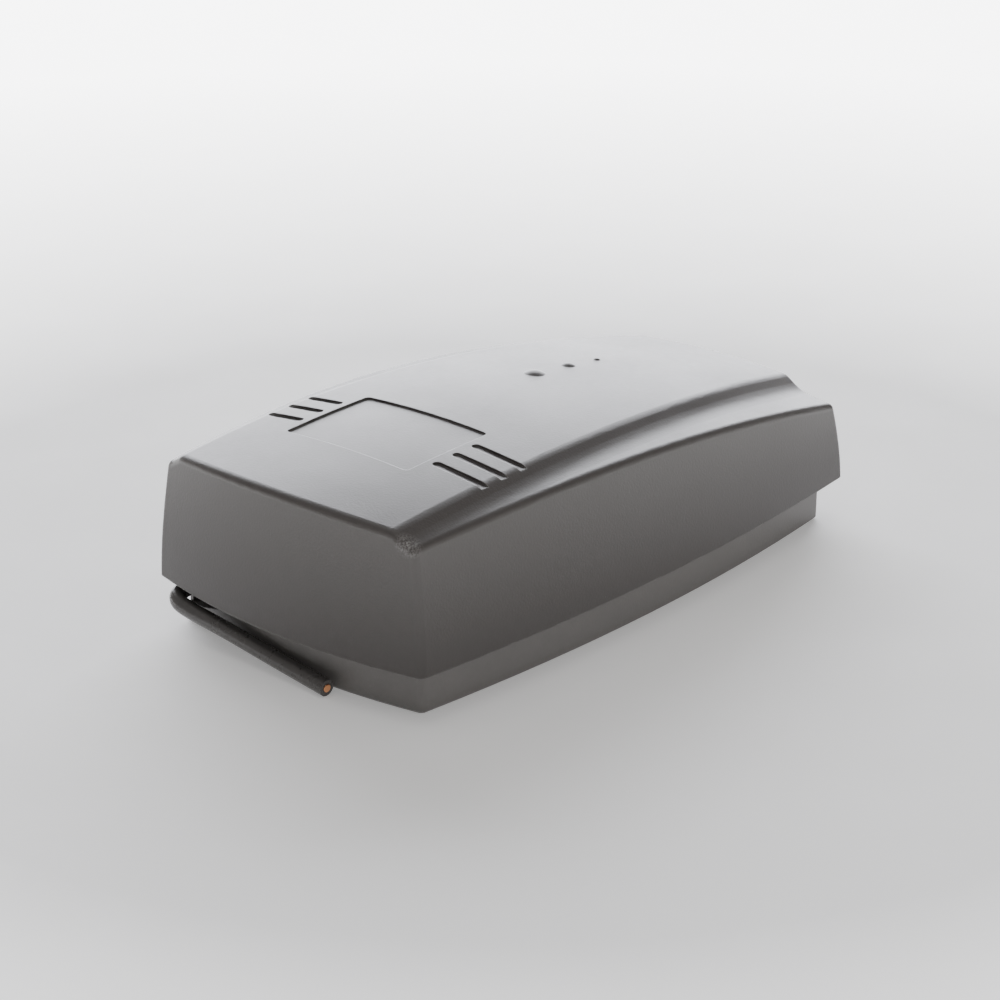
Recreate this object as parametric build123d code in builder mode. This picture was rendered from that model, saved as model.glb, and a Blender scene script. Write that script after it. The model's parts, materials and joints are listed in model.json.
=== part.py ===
from build123d import *
import math
import os

# Wall-mount radio receiver with a wire antenna. Millimetres.
# X runs along the case, from the antenna end (-X) to the cable end (+X), Y across it, Z up from the wall.
# The origin is on the underside of the base, in the middle of the case.

# ---- driving dimensions: the case ----
CASE_LENGTH = 109.8  # corner to corner at the cover's rim
CASE_WIDTH = 58.8
END_BOW = 3.7  # how far each end swells past its corners
SIDE_BOW = 3.3
CORNER_R = 1.3
RIM_Z = 8.0  # the cover's rim, above the wall
COVER_WALL = 2.0
LEAN_NEAR, LEAN_SIDE, LEAN_FAR = 1.0, 2.2, 3.3  # how far the walls lean in over LEAN_HEIGHT
LEAN_HEIGHT = 20.0
LEAN_POWER = 1.5

# The top, as (near end, middle, far end) values of a smooth curve along the case
BAND_HALF_WIDTH = (23.2, 22.4, 16.5)  # half width of the crowned panel
BAND_Z = (30.1, 31.85, 24.5)  # height of its edges
SHOULDER_Z = (27.8, 29.25, 21.4)  # height of the side walls' top edge
CROWN = (1.5, 1.35, 0.55)  # how far the panel's middle stands over its edges
COVE_SLOPE = 34.0  # degrees, from the panel's edge down to the shoulder
SHELF_SLOPE = 5.0  # degrees, across the shoulder
COVE_R = 7.0
BAND_EDGE_R = 2.8
TOP_EDGE_R = 1.4

LABEL_LENGTH, LABEL_WIDTH, LABEL_DEPTH = 18.8, 26.6, 0.35
LABEL_CORNER_R = 0.8
LABEL_X, LABEL_Y = -30.5, 1.0
GROOVE_PITCH, GROOVE_WIDTH, GROOVE_DEPTH = 4.5, 1.5, 0.42
GROOVE_START, GROOVE_END = 14.5, 26.8  # distance from the label's middle
GROOVES = 3
PIP_Y = 2.2
PIPS = ((6.9, 3.7, 0.55), (15.8, 2.5, 0.45), (23.6, 1.3, 0.3))  # x, diameter, height

# ---- driving dimensions: the base ----
FIT_GAP = 0.85  # between the base's wall and the cover's
BASE_BOW_EASE = 0.75  # the base's ends swell this much less than the cover's
BASE_CORNER_R = 1.5
BASE_WALL = 2.0
FLOOR = 2.0
LAP = 3.5  # how far the base's wall goes up inside the cover
FOOT_CHAMFER = 0.5
GRIP_GAP = 0.12  # from the cover's grip ribs to the base's wall
RIB_X, RIB_T, RIB_H = 33.0, 1.5, 7.0
SLOT_Y = (16.5, 25.0)  # the antenna slot's lower edge, from high to low
SLOT_Z = (5.2, 2.9)
SLOT_MOUTH = 1.1  # how far the slot opens through the side wall at the corner
SLOT_RETURN = 5.0  # how far a recess in the side wall goes on from there
SLOT_SKIN = 0.6  # what the recess leaves of the side wall

WALL_SLOT_R, WALL_SLOT_LENGTH = 2.1, 6.5
NEAR_SLOT_IN, FAR_SLOT_IN = 4.6, 6.6  # wall slots, from the inner end walls' corners

# ---- driving dimensions: the circuit board ----
BOARD_LENGTH, BOARD_WIDTH, BOARD_T = 76.0, 42.0, 1.6
NEAR_BAY = 9.0  # from the base's end wall to the board
STANDOFF = 4.5
STANDOFF_R = 3.0
SCREW_R, SCREW_LENGTH = 1.1, 5.5
SCREW_HEAD_R, SCREW_HEAD_H = 2.2, 1.5
SHAFT_GAP = 0.05  # radial, screws and pins in their holes
BOARD_SCREW_INSET, BOARD_SCREW_SPAN = 3.0, 38.0
PIN_R, PIN_OUT = 0.4, 1.2
PITCH = 2.54

# ---- driving dimensions: what is on the board, placed from its near edge and its centreline ----
TERMINAL_PITCH, TERMINAL_DEPTH, TERMINAL_H = 5.08, 10.0, 11.0
TERMINAL_SLANT = 3.0
TERMINAL_WAYS, ANTENNA_WAYS = 6, 2
TERMINAL_V, ANTENNA_V = -5.4, 15.3
CLAMP_W, CLAMP_H, CLAMP_DEPTH, CLAMP_T, CLAMP_LIFT = 3.8, 4.4, 5.0, 0.6, 1.2
CLAMP_GAP, CAVITY_DEPTH = 0.1, 8.0
CLAMP_SCREW_R, CLAMP_HEAD_R, CLAMP_HEAD_H = 1.2, 1.9, 1.6
RELAY = (19.0, 15.4, 15.2)
RELAYS = (("relay_1", 53.3, -12.9), ("relay_2", 53.3, 3.4))
CHIPS = (("microcontroller", 26.0, -10.0, 9), ("memory_chip", 7.8, -10.0, 4))  # pins a side
CHIP_ROW, CHIP_BODY_W, CHIP_BODY_H = 7.62, 6.35, 3.3
SOCKET_H, SOCKET_W = 4.0, 10.0
MODULE_LENGTH, MODULE_H, MODULE_T, MODULE_LIFT = 34.0, 13.0, 1.0, 2.0
MODULE_U, MODULE_V = 21.0, 16.0
CAN_LENGTH, CAN_H, CAN_DEPTH, CAN_U = 14.0, 9.0, 3.6, 19.5
COIL_R, COIL_H, COIL_U = 2.2, 6.0, 31.0
CRYSTAL_LENGTH, CRYSTAL_W, CRYSTAL_H = 11.4, 4.9, 3.6
CRYSTAL_U, CRYSTAL_V = 26.0, -1.6
CAPACITOR_R, CAPACITOR_H, CAPACITOR_U, CAPACITOR_V = 4.0, 12.0, 48.0, 16.3
REGULATOR_U, REGULATOR_V = 58.5, 16.5
RESISTOR_R, RESISTOR_LENGTH, RESISTOR_SPAN = 1.15, 6.3, 10.16
RESISTORS = ((19.5, 3.2), (19.5, 6.6), (19.5, 10.0), (33.0, 3.2), (33.0, 6.6), (33.0, 10.0))
DIODE_R, DIODE_LENGTH, DIODE_SPAN = 1.35, 5.2, 10.16
DIODES = ((41.6, -9.4), (41.6, 9.4))
TRANSISTORS = ((41.2, -2.2), (41.2, 2.2))
DISC_R, DISC_T = 2.6, 2.2
DISCS = ((14.0, -17.8), (24.5, -17.8), (34.8, -17.8))
LED_R, LED_H, LED_V = 1.5, 5.2, 12.4
LEDS = (("led_1", 4.4), ("led_2", 9.2))
BUTTON_SIDE, BUTTON_BODY_H, BUTTON_CAP_R, BUTTON_CAP_H, BUTTON_TRAVEL = 6.0, 3.6, 1.7, 1.4, 0.25
BUTTON_GAP = 0.1  # round the cap, in its body
BUTTONS = (("button_1", 7.0, -1.0), ("button_2", 7.0, 7.1))
HEADER_U, HEADER_V, HEADER_PINS = 24.0, 19.2, 3
HEADER_H, HEADER_PIN_SIDE, HEADER_PIN_H = 2.5, 0.64, 8.5
SHUNT_H, SHUNT_GAP = 6.0, 0.08

GROMMET_HOLE_R, GROMMET_LIP, GROMMET_IN, GROMMET_Y = 5.0, 1.5, 8.0, -13.0
GROMMET_LIP_T = 1.0

# ---- driving dimensions: the antenna ----
WIRE_R, CORE_R = 1.4, 0.69
CORE_BARE = 7.0  # stripped length in the terminal
CORE_TIP = 1.2  # core let into the cut end
CORE_PROUD = 0.2
CORE_ROUNDING = 0.15
# The free stretch, from the slot to the cut end, which rests on the surface under the case
FREE_ROUTE = ((-50.6, 24.15, 6.6), (-53.7, 25.55, 6.15), (-56.6, 23.8, 5.45), (-56.75, 19.3, 4.75),
              (-56.55, 12.0, 3.95), (-56.75, 0.4, 2.55), (-57.0, -11.1, WIRE_R))
# The held stretch, from the antenna terminal along the side wall to the slot
HELD_ROUTE = ((36.0, 12.76, 10.65), (42.6, 12.76, 10.65), (47.2, 17.4, 10.3), (44.6, 22.3, 9.9),
              (30.0, 23.4, 9.4), (2.0, 24.4, 8.8), (-26.0, 23.5, 8.1), (-46.26, 22.19, 7.23),
              (-50.6, 24.15, 6.6))

# ---- worked-out values ----
HALF_X, HALF_Y = CASE_LENGTH / 2, CASE_WIDTH / 2
STEP_IN = COVER_WALL + FIT_GAP
BASE_HALF_X, BASE_HALF_Y = HALF_X - STEP_IN, HALF_Y - STEP_IN
BASE_END_BOW = END_BOW - BASE_BOW_EASE
WALL_TOP = RIM_Z + LAP
ROOF_Z = 60.0  # above everything
INNER_X = BASE_HALF_X - BASE_WALL
INNER_Y = BASE_HALF_Y - BASE_WALL
BOARD_X = -INNER_X + NEAR_BAY  # the board's near edge
BOARD_Z = FLOOR + STANDOFF
BOARD_TOP = BOARD_Z + BOARD_T
NEAR_SLOT_X, FAR_SLOT_X = -INNER_X + NEAR_SLOT_IN, INNER_X - FAR_SLOT_IN

os.makedirs("parts", exist_ok=True)
pieces = {}  # node name: its BuildPart


def along(x, values):
    """Value at x of the smooth curve with these near, middle and far values."""
    near, middle, far = values
    t = x / HALF_X
    return middle + (far - near) / 2 * t + ((far + near) / 2 - middle) * t * t


def lean(height, amount):
    """How far a wall has leaned in at this height over the rim."""
    return amount * max(height, 0) / LEAN_HEIGHT * (max(height, 0) / LEAN_HEIGHT) ** (LEAN_POWER - 1)


def side_y(x, z, inset=0.0):
    """The cover's side wall: its distance from the centreline."""
    return HALF_Y + SIDE_BOW * (1 - (x / HALF_X) ** 2) - lean(z - RIM_Z, LEAN_SIDE) - inset


def outline(near_x, far_x, half_y, end_bow, side_bow, corner_r):
    """Four bowed sides between rounded corners, on the sketch in hand."""
    middle = (near_x + far_x) / 2
    with BuildLine() as rim:
        ThreePointArc((near_x, -half_y), (middle, -half_y - side_bow), (far_x, -half_y))
        ThreePointArc((far_x, -half_y), (far_x + end_bow, 0), (far_x, half_y))
        ThreePointArc((far_x, half_y), (middle, half_y + side_bow), (near_x, half_y))
        ThreePointArc((near_x, half_y), (near_x - end_bow, 0), (near_x, -half_y))
    face = make_face(rim.edges())
    fillet(face.vertices(), corner_r)


def top_profile(x, drop):
    """Section of everything under the crowned top at x, lowered by drop."""
    band_y = along(x, BAND_HALF_WIDTH)
    band_z = along(x, BAND_Z) - drop
    shoulder_z = along(x, SHOULDER_Z) - drop
    wall_y = side_y(min(max(x, -HALF_X), HALF_X), shoulder_z + drop)
    slope, shelf = math.tan(math.radians(COVE_SLOPE)), math.tan(math.radians(SHELF_SLOPE))
    foot_y = (band_z - shoulder_z - shelf * wall_y + slope * band_y) / (slope - shelf)
    foot_z = band_z - slope * (foot_y - band_y)
    reach = HALF_Y * 1.6
    reach_z = foot_z - shelf * (reach - foot_y)
    with BuildLine() as section:
        ThreePointArc((-band_y, band_z), (0, band_z + along(x, CROWN)), (band_y, band_z))
        Polyline((band_y, band_z), (foot_y, foot_z), (reach, reach_z), (reach, -1),
                 (-reach, -1), (-reach, reach_z), (-foot_y, foot_z), (-band_y, band_z))
    profile = make_face(section.edges())
    fillet(profile.vertices().filter_by(lambda v: abs(v.Y - foot_z) < 0.001), COVE_R)
    fillet(vertices().filter_by(lambda v: abs(v.Y - band_z) < 0.001), BAND_EDGE_R)


def case_form(inset, drop, bottom):
    """The case's outer form, drawn in by inset, lowered by drop, from bottom up."""
    with BuildPart() as form:
        for height in (bottom - RIM_Z, 5, 11, 18, 28):
            with BuildSketch(Plane.XY.offset(RIM_Z + height)):
                outline(-HALF_X + inset + lean(height, LEAN_NEAR), HALF_X - inset - lean(height, LEAN_FAR),
                        HALF_Y - inset - lean(height, LEAN_SIDE), END_BOW, SIDE_BOW, CORNER_R)
        loft()
        for share in (-1.15, -0.6, 0, 0.6, 1.15):
            with BuildSketch(Plane.YZ.offset(share * HALF_X)):
                top_profile(share * HALF_X, drop)
        loft(mode=Mode.INTERSECT)
    return form


# ---- cover ----
outer_form = case_form(0, 0, RIM_Z)
inner_form = case_form(COVER_WALL, COVER_WALL, RIM_Z - 1)
label_floor = case_form(-COVER_WALL, LABEL_DEPTH, RIM_Z)

with BuildPart() as label_pocket:
    with BuildSketch(Plane.XY.offset(RIM_Z + LEAN_HEIGHT / 2)):
        with Locations((LABEL_X, LABEL_Y)):
            RectangleRounded(LABEL_LENGTH, LABEL_WIDTH, LABEL_CORNER_R)
    extrude(amount=ROOF_Z)
    add(label_floor.part, mode=Mode.SUBTRACT)


def panel_plane(x, y):
    """Plane lying on the crowned panel at x, y."""
    half, crown = along(x, BAND_HALF_WIDTH), along(x, CROWN)
    tilt = math.atan(2 * crown / half) * abs(y) / half
    z = along(x, BAND_Z) + crown * (1 - (y / half) ** 2)
    normal = (0, math.copysign(math.sin(tilt), y), math.cos(tilt))
    return Plane(origin=(x, y, z), x_dir=(1, 0, 0), z_dir=normal)


def rib(x, y, width, depth, low, high):
    """Upright block inside the cover, centred at x, y."""
    with BuildSketch(Plane.XY.offset(low)) as block:
        with Locations((x, y)):
            Rectangle(width, depth)
    extrude(block.sketch, amount=high - low)


with BuildPart() as cover:
    add(outer_form.part)
    walls = cover.faces().filter_by(lambda f: abs(f.normal_at().Z) < 0.35)
    top_edges = walls.edges().filter_by(lambda e: e.center().Z > RIM_Z + 10 and abs(e.tangent_at(0.5).Z) < 0.75)
    fillet(top_edges, TOP_EDGE_R)
    add(inner_form.part, mode=Mode.SUBTRACT)
    add(label_pocket.part, mode=Mode.SUBTRACT)
    for side in (-1, 1):
        for number in range(GROOVES):
            groove_x = LABEL_X + (number - (GROOVES - 1) / 2) * GROOVE_PITCH
            groove_y = LABEL_Y + side * (GROOVE_START + GROOVE_END) / 2
            with BuildSketch(panel_plane(groove_x, groove_y)):
                SlotOverall(GROOVE_END - GROOVE_START, GROOVE_WIDTH, rotation=90)
            extrude(amount=GROOVE_DEPTH, both=True, mode=Mode.SUBTRACT)
    for pip_x, pip_d, pip_h in PIPS:
        pip_r = (pip_d ** 2 / 4 + pip_h ** 2) / (2 * pip_h)
        top_z = along(pip_x, BAND_Z) + along(pip_x, CROWN)
        with BuildPart(mode=Mode.PRIVATE) as pip:
            with Locations((pip_x, PIP_Y, top_z + pip_h - pip_r)):
                Sphere(pip_r)
            with Locations((pip_x, PIP_Y, top_z - COVER_WALL / 2)):
                Box(2 * pip_r + 1, 2 * pip_r + 1, 4 * pip_r, align=(Align.CENTER, Align.CENTER, Align.MIN),
                    mode=Mode.INTERSECT)
        add(pip.part)
    # stop ribs stand on the base's wall, grip ribs press against it
    for rib_x in (-RIB_X, 0, RIB_X):
        for side in (-1, 1):
            wall_y = side_y(rib_x, RIM_Z)
            stop_y = (wall_y - STEP_IN - BASE_WALL * 0.6, wall_y - COVER_WALL / 2 - 0.5)
            grip_y = (wall_y - STEP_IN + GRIP_GAP, wall_y - COVER_WALL / 2)
            rib(rib_x, side * sum(stop_y) / 2, RIB_T, stop_y[1] - stop_y[0], WALL_TOP, WALL_TOP + RIB_H)
            rib(rib_x, side * sum(grip_y) / 2, RIB_T, grip_y[1] - grip_y[0], RIM_Z + 0.6, WALL_TOP)
pieces["cover"] = cover

# ---- base ----
SCREW_SPOTS = [(BOARD_X + u, v) for u in (BOARD_SCREW_INSET, BOARD_SCREW_INSET + BOARD_SCREW_SPAN)
               for v in (-BOARD_WIDTH / 2 + BOARD_SCREW_INSET, BOARD_WIDTH / 2 - BOARD_SCREW_INSET)]
GROMMET_X = INNER_X - GROMMET_IN

with BuildPart() as base:
    with BuildSketch(Plane.XY):
        outline(-BASE_HALF_X, BASE_HALF_X, BASE_HALF_Y, BASE_END_BOW, SIDE_BOW, BASE_CORNER_R)
    extrude(amount=WALL_TOP)
    chamfer(base.faces().sort_by(Axis.Z)[0].edges(), FOOT_CHAMFER)
    with BuildSketch(Plane.XY.offset(FLOOR)):
        outline(-INNER_X, INNER_X, INNER_Y, BASE_END_BOW, SIDE_BOW, BASE_CORNER_R / 2)
    extrude(amount=WALL_TOP, mode=Mode.SUBTRACT)
    with BuildSketch(Plane.XY.offset(FLOOR)):
        with Locations(SCREW_SPOTS):
            Circle(STANDOFF_R)
    extrude(amount=STANDOFF)
    with Locations([(x, y, BOARD_Z) for x, y in SCREW_SPOTS]):
        Hole(SCREW_R + SHAFT_GAP, depth=STANDOFF)
    with BuildSketch(Plane.XY):
        with Locations((NEAR_SLOT_X, 0), (FAR_SLOT_X, 0)):
            SlotOverall(WALL_SLOT_LENGTH, 2 * WALL_SLOT_R)
    extrude(amount=FLOOR, mode=Mode.SUBTRACT)
    with Locations((GROMMET_X, GROMMET_Y, 0)):
        Hole(GROMMET_HOLE_R, depth=2 * FLOOR)
        Cylinder(GROMMET_HOLE_R + GROMMET_LIP + SHAFT_GAP, 2 * GROMMET_LIP_T, mode=Mode.SUBTRACT)
    # antenna slot: open at the top, with a slanting sill, and a recess where the wire leans on the side wall
    for edge_y, reach in ((CASE_WIDTH, SLOT_MOUTH), (BASE_HALF_Y - SLOT_SKIN, SLOT_RETURN)):
        with BuildSketch(Plane.YZ.offset(-HALF_X - END_BOW)):
            with BuildLine():
                Polyline((SLOT_Y[0], ROOF_Z), (SLOT_Y[0], SLOT_Z[0]), (SLOT_Y[1], SLOT_Z[1]),
                         (edge_y, SLOT_Z[1]), (edge_y, ROOF_Z), close=True)
            make_face()
        extrude(amount=HALF_X + END_BOW - BASE_HALF_X + reach, mode=Mode.SUBTRACT)
pieces["base"] = base

# ---- circuit board ----


def on_board(u, v):
    """Point on the board, u from its near edge and v from its centreline."""
    return (BOARD_X + u, v)


def row(count, pitch):
    """Evenly spaced values about zero."""
    return [(n - (count - 1) / 2) * pitch for n in range(count)]


def chip_pins(u, v, side_pins):
    return [(u + step, v + side * CHIP_ROW / 2) for step in row(side_pins, PITCH) for side in (-1, 1)]


def relay_pins(u, v):
    return [(u - 7.0, v), (u - 5.0, v - 6.0), (u - 5.0, v + 6.0), (u + 7.2, v - 6.0), (u + 7.2, v + 6.0)]


def terminal_pins(v, ways):
    return [(BOARD_LENGTH - TERMINAL_DEPTH / 2, v + step) for step in row(ways, TERMINAL_PITCH)]


def pair(u, v, span, lengthwise=True):
    if lengthwise:
        return [(u - span / 2, v), (u + span / 2, v)]
    return [(u, v - span / 2), (u, v + span / 2)]


PINS = {
    "terminal_block": terminal_pins(TERMINAL_V, TERMINAL_WAYS),
    "antenna_terminal": terminal_pins(ANTENNA_V, ANTENNA_WAYS),
    "rf_module": [(MODULE_U + step, MODULE_V) for step in row(11, PITCH)],
    "crystal": pair(CRYSTAL_U, CRYSTAL_V, 4.88),
    "capacitor": pair(CAPACITOR_U, CAPACITOR_V, 3.5),
    "regulator": [(REGULATOR_U + step, REGULATOR_V) for step in row(3, PITCH)],
    "resistors": [pin for u, v in RESISTORS for pin in pair(u, v, RESISTOR_SPAN)],
    "diodes": [pin for u, v in DIODES for pin in pair(u, v, DIODE_SPAN, lengthwise=False)],
    "transistors": [(u, v + step) for u, v in TRANSISTORS for step in row(3, 1.27)],
    "discs": [pin for u, v in DISCS for pin in pair(u, v, PITCH)],
    "header": [(HEADER_U + step, HEADER_V) for step in row(HEADER_PINS, PITCH)],
}
for name, u, v in RELAYS:
    PINS[name] = relay_pins(u, v)
for name, u, v, side_pins in CHIPS:
    PINS[name] = chip_pins(u, v, side_pins)
for name, u in LEDS:
    PINS[name] = pair(u, LED_V, PITCH, lengthwise=False)
for name, u, v in BUTTONS:
    PINS[name] = [(u + across, v + along_v) for across in (-3.25, 3.25) for along_v in (-2.25, 2.25)]

with BuildPart() as board:
    with BuildSketch(Plane.XY.offset(BOARD_Z)):
        with Locations((BOARD_X + BOARD_LENGTH / 2, 0)):
            RectangleRounded(BOARD_LENGTH, BOARD_WIDTH, 1.0)
        with Locations(SCREW_SPOTS):
            Circle(SCREW_R + 0.3, mode=Mode.SUBTRACT)
        with Locations([on_board(u, v) for spots in PINS.values() for u, v in spots]):
            Circle(PIN_R + SHAFT_GAP, mode=Mode.SUBTRACT)
    extrude(amount=BOARD_T)
pieces["circuit_board"] = board


def pins_down(spots, top=0.3):
    """Round pins through the board, in the part in hand."""
    with BuildSketch(Plane.XY.offset(BOARD_Z - PIN_OUT)) as pin_ends:
        with Locations([on_board(u, v) for u, v in spots]):
            Circle(PIN_R)
    extrude(pin_ends.sketch, amount=PIN_OUT + BOARD_T + top)


def block(u, v, length, width, low, high, corner_r=0.3):
    """Upright block on the board, rounded at its upright edges, in the part in hand."""
    with BuildSketch(Plane.XY.offset(BOARD_TOP + low)) as footprint:
        with Locations(on_board(u, v)):
            RectangleRounded(length, width, corner_r)
    extrude(footprint.sketch, amount=high - low)


def post(u, v, radius, low, high):
    """Upright cylinder on the board, in the part in hand."""
    with BuildSketch(Plane.XY.offset(BOARD_TOP + low)) as footprint:
        with Locations(on_board(u, v)):
            Circle(radius)
    extrude(footprint.sketch, amount=high - low)


# ---- board screws ----
with BuildPart() as board_screws:
    with Locations([(x, y, BOARD_TOP) for x, y in SCREW_SPOTS]):
        Cylinder(SCREW_HEAD_R, SCREW_HEAD_H, align=(Align.CENTER, Align.CENTER, Align.MIN))
    fillet(board_screws.faces().sort_by(Axis.Z)[-len(SCREW_SPOTS):].edges(), 0.5)
    with Locations([(x, y, BOARD_TOP) for x, y in SCREW_SPOTS]):
        Cylinder(SCREW_R, SCREW_LENGTH, align=(Align.CENTER, Align.CENTER, Align.MAX))
    with BuildSketch(Plane.XY.offset(BOARD_TOP + SCREW_HEAD_H)):
        with Locations(SCREW_SPOTS):
            Rectangle(2.4, 0.5)
            Rectangle(0.5, 2.4)
    extrude(amount=-0.9, mode=Mode.SUBTRACT)
pieces["board_screws"] = board_screws

# ---- screw terminals ----


def terminals(name, v, ways):
    """Housing, clamps and screws of a terminal strip that opens at the board's far edge."""
    length = ways * TERMINAL_PITCH
    face_x = BOARD_X + BOARD_LENGTH
    back_x = face_x - TERMINAL_DEPTH
    roof_z = BOARD_TOP + TERMINAL_H
    steps = row(ways, TERMINAL_PITCH)
    clamp_x = face_x - CLAMP_DEPTH / 2 - 2.2
    cavity_top = CLAMP_LIFT + CLAMP_H + CLAMP_GAP
    with BuildPart() as housing:
        with BuildSketch(Plane.XZ.offset(-v)):
            with BuildLine():
                Polyline((back_x, BOARD_TOP), (face_x, BOARD_TOP), (face_x, roof_z - TERMINAL_SLANT),
                         (face_x - TERMINAL_SLANT / 2, roof_z), (back_x, roof_z), close=True)
            make_face()
        extrude(amount=length / 2, both=True)
        with Locations([(face_x, v + step, BOARD_TOP + (CLAMP_LIFT + cavity_top) / 2) for step in steps]):
            Box(2 * CAVITY_DEPTH, CLAMP_W + 2 * CLAMP_GAP, cavity_top - CLAMP_LIFT + CLAMP_GAP,
                mode=Mode.SUBTRACT)
        with Locations([(clamp_x, v + step, BOARD_TOP + TERMINAL_H) for step in steps]):
            Cylinder(CLAMP_HEAD_R + CLAMP_GAP, 2 * (TERMINAL_H - cavity_top), mode=Mode.SUBTRACT)
        pins_down(terminal_pins(v, ways), top=0.5)
    with BuildPart() as clamps:
        with Locations([(clamp_x, v + step, BOARD_TOP + CLAMP_LIFT + CLAMP_H / 2) for step in steps]):
            Box(CLAMP_DEPTH, CLAMP_W, CLAMP_H)
            Box(2 * CLAMP_DEPTH, CLAMP_W - 2 * CLAMP_T, CLAMP_H - 2 * CLAMP_T, mode=Mode.SUBTRACT)
        with Locations([(clamp_x, v + step, BOARD_TOP + CLAMP_LIFT + CLAMP_H) for step in steps]):
            Cylinder(CLAMP_SCREW_R + SHAFT_GAP, 2 * CLAMP_T + 0.2, mode=Mode.SUBTRACT)
    head_z = BOARD_TOP + TERMINAL_H - 1.8
    shank_end = BOARD_TOP + CLAMP_LIFT + CLAMP_T + 2 * CORE_R + 0.1
    with BuildPart() as screws:
        with Locations([(clamp_x, v + step, head_z) for step in steps]):
            Cylinder(CLAMP_HEAD_R, CLAMP_HEAD_H, align=(Align.CENTER, Align.CENTER, Align.MAX))
        with BuildSketch(Plane.XY.offset(head_z)):
            with Locations([(clamp_x, v + step) for step in steps]):
                Rectangle(2 * CLAMP_HEAD_R, 0.6, rotation=35)
        extrude(amount=-0.8, mode=Mode.SUBTRACT)
        with Locations([(clamp_x, v + step, shank_end) for step in steps]):
            Cylinder(CLAMP_SCREW_R, head_z - 1 - shank_end, align=(Align.CENTER, Align.CENTER, Align.MIN))
    pieces[name + "_housing"] = housing
    pieces[name + "_clamps"] = clamps
    pieces[name + "_screws"] = screws


terminals("terminal_block", TERMINAL_V, TERMINAL_WAYS)
terminals("antenna_terminal", ANTENNA_V, ANTENNA_WAYS)

# ---- relays ----
for name, u, v in RELAYS:
    with BuildPart() as relay:
        block(u, v, RELAY[0], RELAY[1], 0, RELAY[2], 0.6)
        fillet(relay.faces().sort_by(Axis.Z)[-1].edges(), 0.4)
        pins_down(PINS[name])
    pieces[name] = relay

# ---- socketed chips ----
for name, u, v, side_pins in CHIPS:
    length = side_pins * PITCH
    with BuildPart() as socket:
        block(u, v, length, SOCKET_W, 0, SOCKET_H, 0.2)
        block(u, v, length - 2 * PITCH, CHIP_ROW - PITCH, 0, SOCKET_H, 0.2)
        with Locations([(*on_board(u + step, v + side * CHIP_ROW / 2), BOARD_TOP + SOCKET_H)
                        for step in row(side_pins, PITCH) for side in (-1, 1)]):
            Box(1.0, 0.7, 5.0, mode=Mode.SUBTRACT)
        with BuildSketch(Plane.XY.offset(BOARD_TOP)):
            with Locations(on_board(u, v)):
                Rectangle(length - 2 * PITCH, CHIP_ROW - PITCH)
        extrude(amount=SOCKET_H, mode=Mode.SUBTRACT)
        pins_down(PINS[name])
    pieces[name + "_socket"] = socket
    with BuildPart() as chip:
        block(u, v, length - 0.6, CHIP_BODY_W, SOCKET_H + 0.2, SOCKET_H + 0.2 + CHIP_BODY_H, 0.5)
        chamfer(chip.faces().sort_by(Axis.Z)[-1].edges(), 0.3)
        with Locations((*on_board(u - length / 2 + 0.3, v), BOARD_TOP + SOCKET_H + 0.2 + CHIP_BODY_H)):
            Cylinder(0.9, 0.8, mode=Mode.SUBTRACT)
        with Locations([(*on_board(u + step, v + side * CHIP_ROW / 2), BOARD_TOP + SOCKET_H + 1.6)
                        for step in row(side_pins, PITCH) for side in (-1, 1)]):
            Box(0.5, 0.3, 3.8, align=(Align.CENTER, Align.CENTER, Align.MAX))
            Box(1.2, 1.4, 0.3, align=(Align.CENTER, Align.CENTER, Align.CENTER))
    pieces[name] = chip

# ---- radio module, upright on a row of pins ----
module_low, module_high = MODULE_LIFT, MODULE_LIFT + MODULE_H
with BuildPart() as module_board:
    block(MODULE_U, MODULE_V, MODULE_LENGTH, MODULE_T, module_low, module_high, 0.2)
pieces["radio_module_board"] = module_board
with BuildPart() as module_pins:
    pins_down(PINS["rf_module"], top=MODULE_LIFT - 0.1)
    block(MODULE_U, MODULE_V, 10 * PITCH + 2, 2.4, 0, MODULE_LIFT, 0.2)
pieces["radio_module_header"] = module_pins
with BuildPart() as module_can:
    can_v = MODULE_V - MODULE_T / 2 - CAN_DEPTH / 2
    block(CAN_U, can_v, CAN_LENGTH, CAN_DEPTH, module_low + 1.5, module_low + 1.5 + CAN_H, 0.3)
    fillet(module_can.faces().sort_by(Axis.Y)[0].edges(), 0.25)
pieces["radio_module_can"] = module_can
with BuildPart() as module_coil:
    coil_plane = Plane(origin=(*on_board(COIL_U, MODULE_V - MODULE_T / 2), BOARD_TOP + module_low + MODULE_H / 2),
                       x_dir=(1, 0, 0), z_dir=(0, -1, 0))
    with BuildSketch(coil_plane):
        Circle(COIL_R)
    extrude(amount=COIL_H)
    with BuildSketch(coil_plane.offset(COIL_H)):
        Rectangle(2.6, 0.6)
    extrude(amount=-1.0, mode=Mode.SUBTRACT)
pieces["radio_module_coil"] = module_coil

# ---- crystal, capacitors, regulator ----
with BuildPart() as crystal:
    block(CRYSTAL_U, CRYSTAL_V, CRYSTAL_LENGTH, CRYSTAL_W, 0, 0.5, CRYSTAL_W / 2 - 0.01)
    block(CRYSTAL_U, CRYSTAL_V, CRYSTAL_LENGTH - 0.8, CRYSTAL_W - 0.8, 0.5, CRYSTAL_H, (CRYSTAL_W - 0.8) / 2 - 0.01)
    fillet(crystal.faces().sort_by(Axis.Z)[-1].edges(), 0.4)
    pins_down(PINS["crystal"])
pieces["crystal"] = crystal

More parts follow.
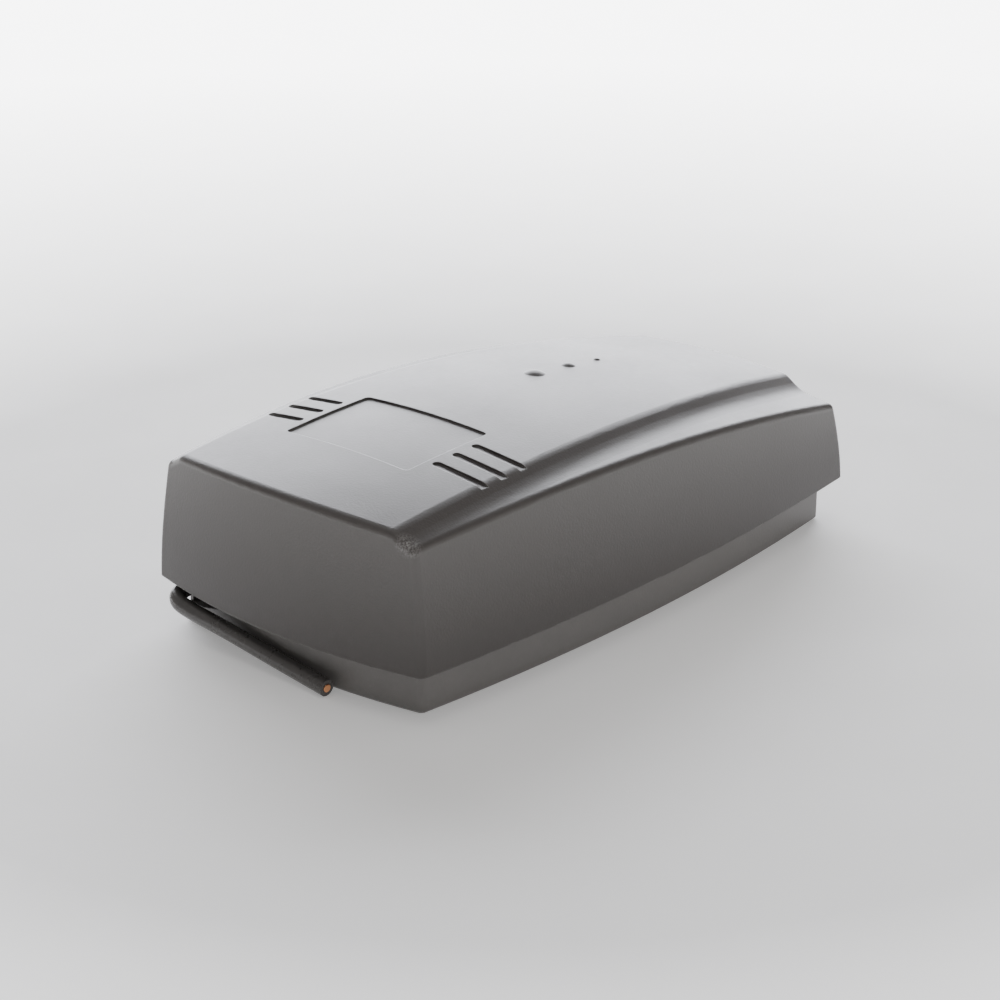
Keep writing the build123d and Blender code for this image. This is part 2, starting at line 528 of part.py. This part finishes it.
with BuildPart() as filter_capacitor:
    post(CAPACITOR_U, CAPACITOR_V, CAPACITOR_R, 0, CAPACITOR_H)
    fillet(filter_capacitor.faces().sort_by(Axis.Z)[-1].edges(), 0.6)
    with BuildSketch(Plane.XY.offset(BOARD_TOP + CAPACITOR_H)):
        with Locations(on_board(CAPACITOR_U, CAPACITOR_V)):
            Rectangle(5.0, 0.4)
            Rectangle(0.4, 5.0)
    extrude(amount=-0.3, mode=Mode.SUBTRACT)
    pins_down(PINS["capacitor"])
pieces["filter_capacitor"] = filter_capacitor

with BuildPart() as voltage_regulator:
    block(REGULATOR_U, REGULATOR_V, 10.0, 4.4, 2.0, 11.0, 0.3)
    block(REGULATOR_U, REGULATOR_V + 1.6, 10.0, 1.2, 2.0, 16.5, 0.3)
    with Locations((*on_board(REGULATOR_U, REGULATOR_V + 1.6), BOARD_TOP + 14.0)):
        Cylinder(1.8, 6.0, rotation=(90, 0, 0), mode=Mode.SUBTRACT)
    pins_down(PINS["regulator"], top=2.5)
pieces["voltage_regulator"] = voltage_regulator

with BuildPart() as ceramic_capacitors:
    for u, v in DISCS:
        disc_plane = Plane(origin=(*on_board(u, v + DISC_T / 2), BOARD_TOP + DISC_R + 0.6), z_dir=(0, -1, 0))
        with BuildSketch(disc_plane):
            Circle(DISC_R)
        extrude(amount=DISC_T)
    fillet(ceramic_capacitors.edges().filter_by(GeomType.CIRCLE), 0.9)
    pins_down(PINS["discs"], top=1.8)
pieces["ceramic_capacitors"] = ceramic_capacitors


def axial(u, v, span, length, radius, lead_r, lengthwise=True):
    """Body on bent leads: a resistor or a diode, in the part in hand."""
    lift = BOARD_TOP + radius + 0.15
    middle = on_board(u, v)
    step = (1, 0) if lengthwise else (0, 1)
    with BuildLine() as lead:
        ends = [(middle[0] + side * step[0] * span / 2, middle[1] + side * step[1] * span / 2) for side in (-1, 1)]
        FilletPolyline((*ends[0], BOARD_Z - PIN_OUT), (*ends[0], lift), (*ends[1], lift),
                       (*ends[1], BOARD_Z - PIN_OUT), radius=0.8)
    with BuildSketch(Plane(origin=(*ends[0], BOARD_Z - PIN_OUT), z_dir=(0, 0, 1))) as lead_section:
        Circle(lead_r)
    sweep(lead_section.sketch, path=lead.line)
    body_plane = Plane(origin=(*middle, lift), z_dir=(*step, 0))
    with BuildSketch(body_plane) as body_section:
        Circle(radius)
    extrude(body_section.sketch, amount=length / 2, both=True)


with BuildPart() as resistors:
    for u, v in RESISTORS:
        axial(u, v, RESISTOR_SPAN, RESISTOR_LENGTH, RESISTOR_R, 0.3)
pieces["resistors"] = resistors

with BuildPart() as diodes:
    for u, v in DIODES:
        axial(u, v, DIODE_SPAN, DIODE_LENGTH, DIODE_R, 0.36, lengthwise=False)
pieces["diodes"] = diodes

with BuildPart() as transistors:
    for u, v in TRANSISTORS:
        with BuildSketch(Plane.XY.offset(BOARD_TOP + 2.0)):
            with Locations(on_board(u, v)):
                Circle(2.1)
            with Locations(on_board(u + 2.6, v)):
                Rectangle(2.6, 6.0, mode=Mode.SUBTRACT)
        extrude(amount=4.6)
    with BuildSketch(Plane.XY.offset(BOARD_Z - PIN_OUT)):
        with Locations([on_board(*spot) for spot in PINS["transistors"]]):
            Circle(0.25)
    extrude(amount=PIN_OUT + BOARD_T + 2.5)
pieces["transistors"] = transistors

# ---- lamps ----
for name, u in LEDS:
    with BuildPart() as led:
        post(u, LED_V, LED_R + 0.4, 0.8, 1.6)
        post(u, LED_V, LED_R, 1.6, LED_H)
        fillet(led.faces().sort_by(Axis.Z)[-1].edges(), LED_R - 0.02)
        pins_down(PINS[name], top=1.0)
    pieces[name] = led

# ---- push buttons ----
for name, u, v in BUTTONS:
    with BuildPart() as button_body:
        block(u, v, BUTTON_SIDE, BUTTON_SIDE, 0, BUTTON_BODY_H, 0.4)
        with Locations((*on_board(u, v), BOARD_TOP + BUTTON_BODY_H)):
            Hole(BUTTON_CAP_R + BUTTON_GAP, depth=1.2)
        with BuildSketch(Plane.XY.offset(BOARD_TOP)):
            with Locations([on_board(pu, pv) for pu, pv in PINS[name]]):
                Rectangle(1.2, 0.7)
        extrude(amount=0.4)
        pins_down(PINS[name])
    pieces[name + "_body"] = button_body
    with BuildPart() as button_cap:
        post(u, v, BUTTON_CAP_R, BUTTON_BODY_H - 0.8, BUTTON_BODY_H + BUTTON_CAP_H)
        fillet(button_cap.faces().sort_by(Axis.Z)[-1].edges(), 0.3)
    pieces[name + "_cap"] = button_cap

# ---- jumper ----
with BuildPart() as jumper_header:
    block(HEADER_U, HEADER_V, HEADER_PINS * PITCH, PITCH, 0, HEADER_H, 0.2)
    with BuildSketch(Plane.XY.offset(BOARD_TOP)):
        with Locations([on_board(u, v) for u, v in PINS["header"]]):
            Rectangle(HEADER_PIN_SIDE, HEADER_PIN_SIDE)
    extrude(amount=HEADER_PIN_H)
    pins_down(PINS["header"])
pieces["jumper_header"] = jumper_header

shunt_u = HEADER_U + PITCH / 2
with BuildPart() as jumper_shunt:
    block(shunt_u, HEADER_V, 2 * PITCH - 0.1, PITCH, HEADER_H + 0.1, HEADER_H + 0.1 + SHUNT_H, 0.2)
    with BuildSketch(Plane.XY.offset(BOARD_TOP + HEADER_H)):
        with Locations([on_board(shunt_u + step, HEADER_V) for step in row(2, PITCH)]):
            Rectangle(HEADER_PIN_SIDE + 2 * SHUNT_GAP, HEADER_PIN_SIDE + 2 * SHUNT_GAP)
    extrude(amount=HEADER_PIN_H - HEADER_H + 0.3, mode=Mode.SUBTRACT)
pieces["jumper_shunt"] = jumper_shunt

# ---- cable grommet ----
with BuildPart() as cable_grommet:
    lip_r, neck_r = GROMMET_HOLE_R + GROMMET_LIP, GROMMET_HOLE_R - SHAFT_GAP
    with BuildSketch(Plane(origin=(GROMMET_X, GROMMET_Y, 0), x_dir=(1, 0, 0), z_dir=(0, -1, 0))):
        with BuildLine():
            Polyline((0, 4.4), (2.2, 4.4), (4.0, 3.2), (lip_r, 3.2), (lip_r, FLOOR), (neck_r, FLOOR),
                     (neck_r, GROMMET_LIP_T), (lip_r, GROMMET_LIP_T), (lip_r, 0.2), (4.2, 0.2), (3.2, 2.6),
                     (1.6, 3.8), (0, 3.8), close=True)
        make_face()
    revolve(axis=Axis((GROMMET_X, GROMMET_Y, 0), (0, 0, 1)))
pieces["cable_grommet"] = cable_grommet

# ---- antenna ----


def wire_path(route):
    """Straight runs of the route joined by tangent arcs, and the arcs' radii."""
    points = [Vector(*point) for point in route]
    radii = []
    for before, corner, after in zip(points, points[1:], points[2:]):
        turn = math.radians((corner - before).get_angle(after - corner))
        run = min((corner - before).length, (after - corner).length)
        radii.append(0.45 * run / math.tan(turn / 2))
    with BuildLine() as path:
        FilletPolyline(*points, radius=radii)
    return path.wire(), radii


def wire(route, label):
    path, radii = wire_path(route)
    with BuildPart() as insulation:
        with BuildSketch(Plane(origin=path @ 0, z_dir=path % 0)):
            Circle(WIRE_R)
        sweep(path=path)
    print(label, "length", round(path.length, 2), "radii", [round(r, 2) for r in radii],
          "volume over section x length", round(insulation.part.volume / (math.pi * WIRE_R ** 2 * path.length), 5))
    return insulation, path


held, held_path = wire(HELD_ROUTE, "held stretch")
pieces["antenna_wire_held"] = held
free, free_path = wire(FREE_ROUTE, "free stretch")
tip_plane = Plane(origin=free_path @ 1, z_dir=free_path % 1)
with BuildPart() as antenna_wire_free:
    add(free.part)
    with BuildSketch(tip_plane):
        Circle(CORE_R + SHAFT_GAP / 2)
    extrude(amount=-CORE_TIP, mode=Mode.SUBTRACT)
pieces["antenna_wire_free"] = antenna_wire_free
with BuildPart() as antenna_core_tip:
    with BuildSketch(tip_plane.offset(CORE_PROUD)):
        Circle(CORE_R)
    extrude(amount=-CORE_TIP - CORE_PROUD)
    tip_rims = antenna_core_tip.edges().filter_by(GeomType.CIRCLE)
    fillet(tip_rims.sort_by_distance(tip_plane.origin)[0], CORE_ROUNDING)
pieces["antenna_core_tip"] = antenna_core_tip
with BuildPart() as antenna_core_clamped:
    with BuildSketch(Plane(origin=held_path @ 0, z_dir=-(held_path % 0))):
        Circle(CORE_R)
    extrude(amount=CORE_BARE)
pieces["antenna_core_clamped"] = antenna_core_clamped


for name, piece in pieces.items():
    piece.part.label = name
    export_step(piece.part, f"parts/{name}.step")
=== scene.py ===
import json
import math
import bpy
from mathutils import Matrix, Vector


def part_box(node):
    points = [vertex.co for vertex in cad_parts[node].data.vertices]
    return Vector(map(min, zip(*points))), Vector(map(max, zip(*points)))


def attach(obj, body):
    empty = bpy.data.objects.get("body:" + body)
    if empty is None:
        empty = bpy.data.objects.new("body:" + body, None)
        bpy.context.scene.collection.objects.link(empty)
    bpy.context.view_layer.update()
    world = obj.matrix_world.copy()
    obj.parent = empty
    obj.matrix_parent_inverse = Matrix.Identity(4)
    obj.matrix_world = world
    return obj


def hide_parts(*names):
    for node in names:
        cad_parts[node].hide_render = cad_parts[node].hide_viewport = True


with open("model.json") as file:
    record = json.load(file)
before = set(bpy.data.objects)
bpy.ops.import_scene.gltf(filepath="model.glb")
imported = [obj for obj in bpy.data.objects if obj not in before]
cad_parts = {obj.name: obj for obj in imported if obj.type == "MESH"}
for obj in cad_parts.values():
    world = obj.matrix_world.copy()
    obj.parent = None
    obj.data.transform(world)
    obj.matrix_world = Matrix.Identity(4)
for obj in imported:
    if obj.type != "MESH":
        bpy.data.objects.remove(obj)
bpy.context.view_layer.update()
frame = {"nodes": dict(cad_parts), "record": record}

MM = 0.001

# ---- camera ----
AZIMUTH, ELEVATION = math.radians(48.46), math.radians(22.21)
TARGET = Vector((0, 0, 0.015))
DISTANCE = 0.42549
LENS, SENSOR = 90.0, 36.0
TARGET_AT = (0.51694, 0.48478)  # where the target falls in the frame, from its top left


def place_camera():
    back = Vector((-math.sin(AZIMUTH) * math.cos(ELEVATION), -math.cos(AZIMUTH) * math.cos(ELEVATION),
                   math.sin(ELEVATION)))
    right = Vector((math.cos(AZIMUTH), -math.sin(AZIMUTH), 0))
    up = back.cross(right)
    reach = DISTANCE * SENSOR / LENS
    data = bpy.data.cameras.new("camera")
    data.lens = LENS
    data.sensor_width = SENSOR
    data.clip_start = 0.01
    camera = bpy.data.objects.new("camera", data)
    camera.location = (TARGET + back * DISTANCE - right * (TARGET_AT[0] - 0.5) * reach
                       + up * (TARGET_AT[1] - 0.5) * reach)
    camera.rotation_euler = back.to_track_quat("Z", "Y").to_euler()
    bpy.context.collection.objects.link(camera)
    bpy.context.scene.camera = camera


place_camera()

# ---- antenna ----
WIRE_D = 2.8 * MM
# the free stretch, from the slot in the base to the cut end, in millimetres
FREE_ROUTE = ((-50.6, 24.15, 6.6), (-53.7, 25.55, 6.15), (-56.6, 23.8, 5.45), (-56.75, 19.3, 4.75),
              (-56.55, 12.0, 3.95), (-56.75, 0.4, 2.55), (-57.0, -11.1, 1.4))


def free_wire():
    data = bpy.data.curves.new("antenna_free", "CURVE")
    data.dimensions = "3D"
    spline = data.splines.new("NURBS")
    spline.points.add(len(FREE_ROUTE) - 1)
    for point, place in zip(spline.points, FREE_ROUTE):
        point.co = (place[0] * MM, place[1] * MM, place[2] * MM, 1)
        point.radius = WIRE_D / 2
    spline.order_u = 3
    spline.use_endpoint_u = True
    spline.resolution_u = 24
    data.bevel_depth = 1.0  # times each point's radius
    data.bevel_resolution = 10
    data.use_fill_caps = True
    wire = bpy.data.objects.new("antenna_free", data)
    bpy.context.collection.objects.link(wire)
    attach(wire, "housing")
    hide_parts("antenna_wire_free")
    return wire


wire = free_wire()

# ---- materials ----


def part_node(tree, kind, links=None, **settings):
    """A shader node; links are values or sockets by input name or number."""
    made = tree.nodes.new(kind)
    for name, value in settings.items():
        setattr(made, name, value)
    for key, value in (links or {}).items():
        if isinstance(value, bpy.types.NodeSocket):
            tree.links.new(value, made.inputs[key])
        else:
            made.inputs[key].default_value = value
    return made


def noise(tree, coords, scale, detail=2.0, stretch=None):
    if stretch:
        coords = part_node(tree, "ShaderNodeVectorMath", {0: coords, 1: stretch},
                           operation="MULTIPLY").outputs[0]
    return part_node(tree, "ShaderNodeTexNoise", {"Vector": coords, "Scale": scale,
                                                  "Detail": detail}).outputs[0]


def calc(tree, operation, a, b=0.0):
    return part_node(tree, "ShaderNodeMath", {0: a, 1: b}, operation=operation).outputs[0]


def remap(tree, value, low, high, to_low=0.0, to_high=1.0):
    return part_node(tree, "ShaderNodeMapRange", {"Value": value, "From Min": low, "From Max": high,
                                                  "To Min": to_low, "To Max": to_high}).outputs[0]


def blend(tree, factor, a, b):
    """Colour a where factor is 0 and b where it is 1."""
    mix = tree.nodes.new("ShaderNodeMix")
    mix.data_type = "RGBA"
    for index, value in ((0, factor), (6, a), (7, b)):
        if isinstance(value, bpy.types.NodeSocket):
            tree.links.new(value, mix.inputs[index])
        else:
            mix.inputs[index].default_value = value if index == 0 else (*value, 1)
    return mix.outputs[2]


def shade(color, factor):
    return tuple(channel * factor for channel in color)


def worn_edges(tree, radius, coords):
    """1 on sharp outer edges, broken up by noise."""
    bevel = part_node(tree, "ShaderNodeBevel", {"Radius": radius}, samples=4)
    facing = part_node(tree, "ShaderNodeNewGeometry")
    dot = part_node(tree, "ShaderNodeVectorMath", {0: bevel.outputs[0], 1: facing.outputs["Normal"]},
                    operation="DOT_PRODUCT").outputs["Value"]
    edge = remap(tree, dot, 0.99, 0.88)
    return calc(tree, "MULTIPLY", edge, remap(tree, noise(tree, coords, 260, 4), 0.25, 0.75))


def specks(tree, coords, cells, share, size):
    """Sparse round dust specks."""
    dots = part_node(tree, "ShaderNodeTexVoronoi", {"Vector": coords, "Scale": cells})
    red = part_node(tree, "ShaderNodeSeparateColor", {0: dots.outputs["Color"]}).outputs[0]
    chosen = calc(tree, "GREATER_THAN", red, 1 - share)
    return calc(tree, "MULTIPLY", chosen, remap(tree, dots.outputs["Distance"], size, size * 0.5))


BROAD_MOTTLE, FINE_MOTTLE = 45, 700  # patches per metre
TRACK_WIDTH, TRACK_GRID = 0.0003, (0.0127, 0.00254)
BARE_METAL, BARE_ROUGHNESS = (0.62, 0.61, 0.58), 0.32
# painted highlight: the lighter colour laid on the cover's near top corner
PAINTED_CORNER_HIGHLIGHT = (0.42, 0.41, 0.40)
DUST, DUST_CELLS, DUST_SIZE = (0.45, 0.44, 0.42), 130, 0.022


def finish_for(name, color, roughness, metallic=0.0, grain=3500, grain_depth=0.00001, mottle=0.08,
               rough_spread=0.06, stretch=None, wear=0.0, wear_color=(0.4, 0.4, 0.4), wear_radius=0.0004,
               dust=0.0, corner_highlight=None, soft=0.0, bare_below=None, bare_above=None, bands=None, tracks=None,
               clear=0.0):
    """A material with mottling, uneven gloss, grain, and whatever wear, painted corner highlight, dust, bare
    metal or bands it has.
    """
    material = bpy.data.materials.new(name)
    material.use_nodes = True
    tree = material.node_tree
    shader = tree.nodes["Principled BSDF"]
    coords = part_node(tree, "ShaderNodeTexCoord").outputs["Object"]
    broad = noise(tree, coords, BROAD_MOTTLE, 3)
    middle = noise(tree, coords, FINE_MOTTLE, 3)
    mixed = calc(tree, "ADD", calc(tree, "MULTIPLY", broad, 0.6), calc(tree, "MULTIPLY", middle, 0.4))
    tone = blend(tree, remap(tree, mixed, 0.35, 0.65), shade(color, 1 - mottle), shade(color, 1 + mottle))
    gloss = remap(tree, mixed, 0.35, 0.65, roughness - rough_spread, roughness + rough_spread)
    metal = None
    if tracks:
        lines = part_node(tree, "ShaderNodeTexBrick", {"Vector": coords, "Scale": 1.0,
                                                       "Mortar Size": TRACK_WIDTH,
                                                       "Brick Width": TRACK_GRID[0],
                                                       "Row Height": TRACK_GRID[1]})
        tone = blend(tree, calc(tree, "MULTIPLY", lines.outputs["Fac"], 0.8), tone, tracks)
    if bands:
        axis, centres, half, stripes = bands
        place = part_node(tree, "ShaderNodeSeparateXYZ", {0: coords}).outputs[axis]
        offset = None
        for centre in centres:
            step = calc(tree, "SUBTRACT", place, centre)
            if offset is None:
                offset = step
            else:
                nearer = calc(tree, "LESS_THAN", calc(tree, "ABSOLUTE", step), calc(tree, "ABSOLUTE", offset))
                offset = calc(tree, "ADD", calc(tree, "MULTIPLY", step, nearer),
                              calc(tree, "MULTIPLY", offset, calc(tree, "SUBTRACT", 1.0, nearer)))
        for low, high, stripe in stripes:
            inside = calc(tree, "MULTIPLY", calc(tree, "GREATER_THAN", offset, low),
                          calc(tree, "LESS_THAN", offset, high))
            tone = blend(tree, inside, tone, stripe)
        metal = calc(tree, "GREATER_THAN", calc(tree, "ABSOLUTE", offset), half)
    if bare_below is not None or bare_above is not None:
        height = part_node(tree, "ShaderNodeSeparateXYZ", {0: coords}).outputs[2]
        for limit, test in ((bare_below, "LESS_THAN"), (bare_above, "GREATER_THAN")):
            if limit is not None:
                bare = calc(tree, test, height, limit)
                metal = bare if metal is None else calc(tree, "MAXIMUM", metal, bare)
    if metal is not None:
        tone = blend(tree, metal, tone, BARE_METAL)
        gloss = calc(tree, "ADD", calc(tree, "MULTIPLY", gloss, calc(tree, "SUBTRACT", 1.0, metal)),
                     calc(tree, "MULTIPLY", metal, BARE_ROUGHNESS))
        tree.links.new(metal, shader.inputs["Metallic"])
    else:
        shader.inputs["Metallic"].default_value = metallic
    if wear:
        wear_and_highlight_mask = calc(tree, "MULTIPLY", worn_edges(tree, wear_radius, coords), wear)
        tone = blend(tree, wear_and_highlight_mask, tone, wear_color)
    # painted highlight: lighter plastic around one corner, broken up by noise
    if corner_highlight:
        centre, reach = corner_highlight
        away = part_node(tree, "ShaderNodeVectorMath", {0: coords, 1: centre},
                         operation="DISTANCE").outputs["Value"]
        near = remap(tree, away, reach, reach * 0.3)
        wear_and_highlight_mask = calc(tree, "MULTIPLY", near, remap(tree, noise(tree, coords, 3200, 3), 0.4, 0.7, 0.0, 0.45))
        tone = blend(tree, wear_and_highlight_mask, tone, PAINTED_CORNER_HIGHLIGHT)
    if dust:
        tone = blend(tree, specks(tree, coords, DUST_CELLS, dust, DUST_SIZE), tone, DUST)
    tree.links.new(tone, shader.inputs["Base Color"])
    tree.links.new(gloss, shader.inputs["Roughness"])
    relief = noise(tree, coords, grain, 2, stretch)
    bump = part_node(tree, "ShaderNodeBump", {"Height": relief, "Distance": grain_depth, "Strength": 1.0})
    if soft:
        rounded = part_node(tree, "ShaderNodeBevel", {"Radius": soft}, samples=4)
        tree.links.new(rounded.outputs[0], bump.inputs["Normal"])
    tree.links.new(bump.outputs[0], shader.inputs["Normal"])
    shader.inputs["Transmission Weight"].default_value = clear
    return material


def body_centres(node, axis, inset):
    """The middles of a node's two bodies along an axis, inset from the ends of its leads."""
    low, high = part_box(node)
    return low[axis] + inset, high[axis] - inset


board_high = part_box("circuit_board")[1][2]
ALONG_X, ALONG_Y = 0, 1
BLACK, BROWN, GOLD, SILVER = (0.02, 0.02, 0.02), (0.12, 0.04, 0.02), (0.5, 0.3, 0.08), (0.6, 0.6, 0.6)

cover_low, cover_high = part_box("cover")
# the cover's top corner nearest the cut end of the antenna, where a painted highlight lightens the plastic
CORNER_INSET = (0.0046, 0.0066, 0.0048)
NEAR_CORNER = (cover_low[0] + CORNER_INSET[0], cover_low[1] + CORNER_INSET[1],
               cover_high[2] - CORNER_INSET[2])
# from the lead's end to the body's middle, and half the body's length
RESISTOR_INSET, RESISTOR_HALF = 0.00538, 0.00315
DIODE_INSET, DIODE_HALF = 0.00544, 0.0026

FINISHES = {
    # the cover's near top corner gets a painted highlight
    "cover_plastic": dict(color=(0.056, 0.050, 0.047), roughness=0.40, grain=2600, grain_depth=0.000025,
                          mottle=0.04, rough_spread=0.03, wear=0.6, wear_color=(0.36, 0.35, 0.34), dust=0.05,
                          corner_highlight=(NEAR_CORNER, 0.0026), soft=0.0003),
    "base_plastic": dict(color=(0.162, 0.154, 0.149), roughness=0.42, grain=2600, grain_depth=0.000025,
                         mottle=0.05, rough_spread=0.04, wear=0.3, wear_color=(0.22, 0.21, 0.20), dust=0.05,
                         soft=0.0003),
    "wire_insulation": dict(color=(0.085, 0.080, 0.077), roughness=0.27, grain=2500, grain_depth=0.000004,
                            mottle=0.04, rough_spread=0.03, dust=0.03),
    "copper": dict(color=(0.86, 0.40, 0.20), roughness=0.30, metallic=1.0, grain=6000, mottle=0.12,
                   grain_depth=0.00001),
    "board_laminate": dict(color=(0.020, 0.13, 0.045), roughness=0.30, grain=1800, grain_depth=0.000006,
                           mottle=0.10, tracks=(0.035, 0.20, 0.075), wear=0.8, wear_color=(0.42, 0.40, 0.25),
                           wear_radius=0.0003),
    "screw_steel": dict(color=(0.62, 0.62, 0.60), roughness=0.30, metallic=1.0, stretch=(1, 12, 1),
                        mottle=0.10),
    "clamp_metal": dict(color=(0.70, 0.70, 0.68), roughness=0.28, metallic=1.0, stretch=(1, 8, 1)),
    "terminal_plastic": dict(color=(0.02, 0.20, 0.075), roughness=0.38, bare_below=board_high, wear=0.3,
                             wear_color=(0.10, 0.32, 0.18)),
    "relay_case": dict(color=(0.012, 0.035, 0.16), roughness=0.24, bare_below=board_high, grain=1500,
                       grain_depth=0.000008, wear=0.3, wear_color=(0.1, 0.15, 0.3)),
    "chip_plastic": dict(color=(0.022, 0.022, 0.024), roughness=0.5, grain=5000, dust=0.05),
    "socket_plastic": dict(color=(0.028, 0.028, 0.030), roughness=0.42, bare_below=board_high),
    "module_laminate": dict(color=(0.015, 0.06, 0.20), roughness=0.32, tracks=(0.03, 0.10, 0.28),
                            wear=0.6, wear_color=(0.4, 0.38, 0.25), wear_radius=0.0002),
    "shield_tin": dict(color=(0.66, 0.66, 0.64), roughness=0.30, metallic=1.0, mottle=0.12),
    "coil_plastic": dict(color=(0.36, 0.03, 0.02), roughness=0.4),
    "crystal_can": dict(color=(0.70, 0.69, 0.66), roughness=0.24, metallic=1.0, stretch=(10, 1, 1)),
    "capacitor_sleeve": dict(color=(0.015, 0.02, 0.06), roughness=0.28, bare_below=board_high,
                             bare_above=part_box("filter_capacitor")[1][2] - 0.0004),
    "regulator_body": dict(color=(0.025, 0.025, 0.026), roughness=0.45, bare_below=board_high + 0.002,
                           bare_above=board_high + 0.011),
    "resistor_body": dict(color=(0.52, 0.38, 0.20), roughness=0.35,
                          bands=(ALONG_X, body_centres("resistors", ALONG_X, RESISTOR_INSET), RESISTOR_HALF,
                                 ((-0.0024, -0.0018, BROWN), (-0.0009, -0.0003, BLACK),
                                  (0.0004, 0.0010, BROWN), (0.0018, 0.0024, GOLD)))),
    "diode_body": dict(color=(0.02, 0.02, 0.02), roughness=0.3,
                       bands=(ALONG_Y, body_centres("diodes", ALONG_Y, DIODE_INSET), DIODE_HALF,
                              ((0.0013, 0.0019, SILVER),))),
    "transistor_body": dict(color=(0.026, 0.026, 0.027), roughness=0.5, bare_below=board_high + 0.002),
    "disc_ceramic": dict(color=(0.50, 0.20, 0.04), roughness=0.3, bare_below=board_high + 0.0006,
                         grain=1200, grain_depth=0.00002),
    "led_red": dict(color=(0.60, 0.02, 0.02), roughness=0.12, bare_below=board_high + 0.0008, clear=0.5,
                    grain=600, grain_depth=0.000004),
    "led_green": dict(color=(0.04, 0.42, 0.05), roughness=0.12, bare_below=board_high + 0.0008, clear=0.5,
                      grain=600, grain_depth=0.000004),
    "button_body": dict(color=(0.03, 0.03, 0.03), roughness=0.4, bare_below=board_high + 0.0004),
    "button_cap": dict(color=(0.035, 0.035, 0.036), roughness=0.35, wear=0.4),
    "header_plastic": dict(color=(0.025, 0.025, 0.026), roughness=0.42, bare_below=board_high,
                           bare_above=board_high + 0.0026),
    "shunt_plastic": dict(color=(0.02, 0.07, 0.30), roughness=0.36, wear=0.3),
    "grommet_rubber": dict(color=(0.022, 0.022, 0.022), roughness=0.68, grain=1600, grain_depth=0.00002,
                           dust=0.08),
}


def dress():
    """Gives every CAD node, and the pieces that replace them, the finish of its material slot."""
    finishes = {slot: finish_for(slot, **values) for slot, values in FINISHES.items()}
    for part in frame["record"]["subparts"]:
        node = frame["nodes"][part["node"]]
        finish = finishes[part["material_slot"]]
        if not node.material_slots:
            node.data.materials.append(finish)
        for place in node.material_slots:
            place.material = finish
    wire.data.materials.append(finishes["wire_insulation"])


dress()

# ---- floor and light ----
CAMERA_SIDE = Vector((-math.sin(AZIMUTH), -math.cos(AZIMUTH), 0))


def stage():
    bpy.ops.mesh.primitive_plane_add(size=6, location=(0, 0, 0))
    floor = bpy.context.object
    floor.name = "floor"
    paper = finish_for("floor_paper", (0.9, 0.9, 0.9), 0.7, grain=400, grain_depth=0.00001, mottle=0.01)
    tree = paper.node_tree
    shader = tree.nodes["Principled BSDF"]
    coords = part_node(tree, "ShaderNodeTexCoord").outputs["Object"]
    away = part_node(tree, "ShaderNodeVectorMath", {0: coords}, operation="LENGTH").outputs["Value"]
    # the floor glows with painted light: dim near the case, where it reads as a painted soft shadow, and
    # brighter further out
    tree.links.new(remap(tree, away, *GLOW_REACH, *FLOOR_PAINTED_GLOW), shader.inputs["Emission Strength"])
    shader.inputs["Emission Color"].default_value = (1, 1, 1, 1)
    floor.data.materials.append(paper)


def area_light(name, place, aim, size, power, color):
    data = bpy.data.lights.new(name, "AREA")
    data.shape = "RECTANGLE"
    data.size, data.size_y = size
    data.energy = power
    data.color = color
    lamp = bpy.data.objects.new(name, data)
    lamp.location = place
    lamp.rotation_euler = (Vector(place) - Vector(aim)).to_track_quat("Z", "Y").to_euler()
    bpy.context.collection.objects.link(lamp)


FLOOR_PAINTED_GLOW = (0.25, 5.0)  # painted glow on the floor in place of lamp light: dim near the case, where it reads as a painted soft shadow, and bright further out
GLOW_REACH = (0.12, 0.40)
WORLD_LEVEL = 0.33
stage()
# a tall white screen behind the case, whose reflection lights the top
screen_at = -CAMERA_SIDE * 1.0
area_light("screen", (screen_at.x - 0.08, screen_at.y + 0.08, 0.42), (0, 0, 0.2), (1.25, 0.8), 27.0,
           (0.93, 0.945, 1.0))
area_light("overhead", (-0.1, 0.0, 1.2), (0, 0, 0), (0.8, 0.8), 2.2, (1.0, 0.985, 0.97))
area_light("fill", (0.35, -0.9, 0.35), (0, 0, 0.02), (0.6, 0.5), 0.8, (1.0, 0.97, 0.94))
world = bpy.data.worlds.new("studio")
world.use_nodes = True
world.node_tree.nodes["Background"].inputs["Color"].default_value = (1.0, 0.975, 0.95, 1)
world.node_tree.nodes["Background"].inputs["Strength"].default_value = WORLD_LEVEL
bpy.context.scene.world = world

bpy.context.view_layer.update()
